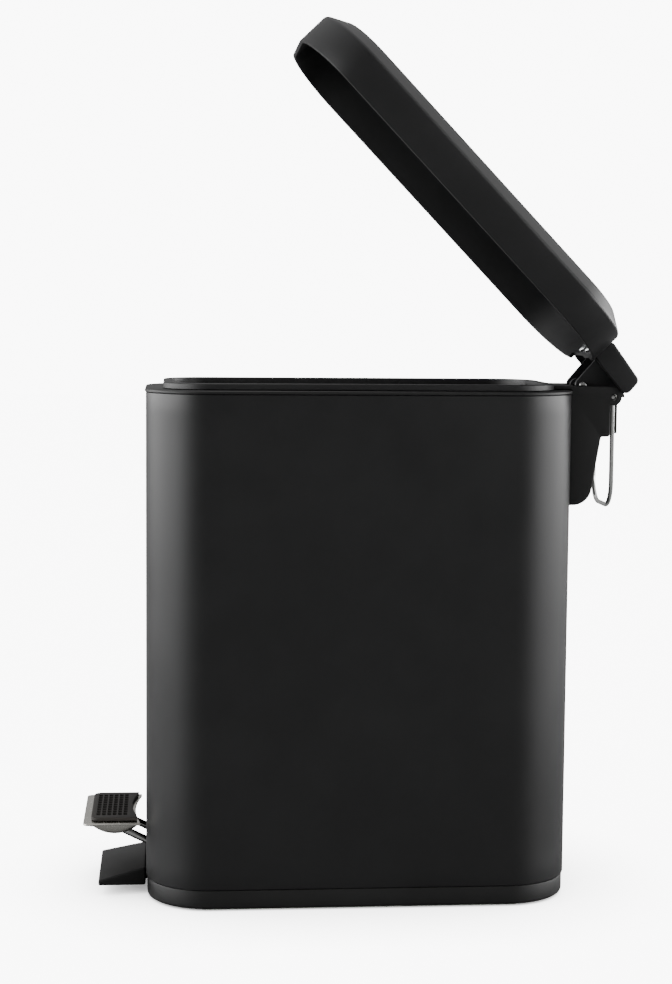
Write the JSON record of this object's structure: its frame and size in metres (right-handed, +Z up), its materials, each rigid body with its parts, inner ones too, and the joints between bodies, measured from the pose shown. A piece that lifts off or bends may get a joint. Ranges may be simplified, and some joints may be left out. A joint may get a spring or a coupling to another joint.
{
  "type": "pedal trash can",
  "caption": "Slim rectangular pedal bin with rounded corners, foot pedal, push rod, rear-hinged lid held open, lift-out bucket and rear carrying bail.",
  "frame": {"origin": "on the floor under the middle of the whole part, lid open as stored", "axes": "+X is the width, to the right seen from the front; +Y is the back with the hinge, -Y the front with the pedal; +Z is up"},
  "size_m": [0.118, 0.2883, 0.4527],
  "materials": {
    "painted_steel": "matt black powder coat",
    "black_plastic": "fine satin moulded black",
    "liner_plastic": "satin moulded black",
    "pad_rubber": "matt waffle rubber",
    "strip_foam": "matt soft non-slip strip",
    "polished_steel": "polished",
    "chrome_wire": "bright plated wire",
    "dark_steel": "blackened pressed steel",
    "zinc": "bright zinc plate"
  },
  "bodies": {
    "can": {"body_shell": "painted_steel", "base_tray": "black_plastic", "floor_strip_left": "strip_foam", "floor_strip_right": "strip_foam", "front_foot": "black_plastic", "foot_screw_left": "zinc", "foot_screw_right": "zinc", "pedal_mouth_frame": "black_plastic", "collar_ring": "black_plastic", "inner_bucket": "liner_plastic", "fulcrum_axle": "zinc", "hinge_housing": "black_plastic", "housing_screw_left": "zinc", "housing_screw_right": "zinc", "hinge_pin": "chrome_wire"},
    "lid": {"lid_shell": "black_plastic", "bracket_screw_left": "zinc", "bracket_screw_right": "zinc", "crank_bracket": "dark_steel", "crank_pin": "chrome_wire", "crank_pin_washer": "zinc"},
    "pedal": {"pedal_lever": "chrome_wire", "pedal_plate": "polished_steel", "pedal_pad": "pad_rubber", "pedal_saddle_left": "polished_steel", "pedal_saddle_right": "polished_steel", "fulcrum_clip_left": "black_plastic", "fulcrum_clip_right": "black_plastic"},
    "rod": {"push_rod": "dark_steel"},
    "bail": {"carry_bail": "chrome_wire"},
    "handle": {"bucket_handle": "chrome_wire", "handle_grip": "liner_plastic"}
  },
  "joints": [
    {"name": "lid_hinge", "type": "hinge", "parent": "can", "child": "lid", "pos_m": [0, 0.13185, 0.2611], "axis": [-1, 0, 0], "range_deg": [-46.3, 25.7]},
    {"name": "pedal_pivot", "type": "hinge", "parent": "can", "child": "pedal", "pos_m": [0, 0.00345, 0.0245], "axis": [1, 0, 0], "range_deg": [-6.85, 3.85]},
    {"name": "rod_lift", "type": "slide", "parent": "can", "child": "rod", "axis": [0, 0, 1], "range_m": [-0.0116, 0.0065]},
    {"name": "bail_swing", "type": "hinge", "parent": "can", "child": "bail", "pos_m": [0, 0.13185, 0.2611], "axis": [1, 0, 0], "range_deg": [-1.5, 60]},
    {"name": "bucket_handle_lift", "type": "hinge", "parent": "can", "child": "handle", "pos_m": [0, -0.00155, 0.258], "axis": [-1, 0, 0], "range_deg": [0, 14]}
  ],
  "couplings": [
    {"joint": "pedal_pivot", "follows": "lid_hinge", "ratio": 0.14767},
    {"joint": "rod_lift", "follows": "lid_hinge", "m_per_rad": 0.014324}
  ]
}
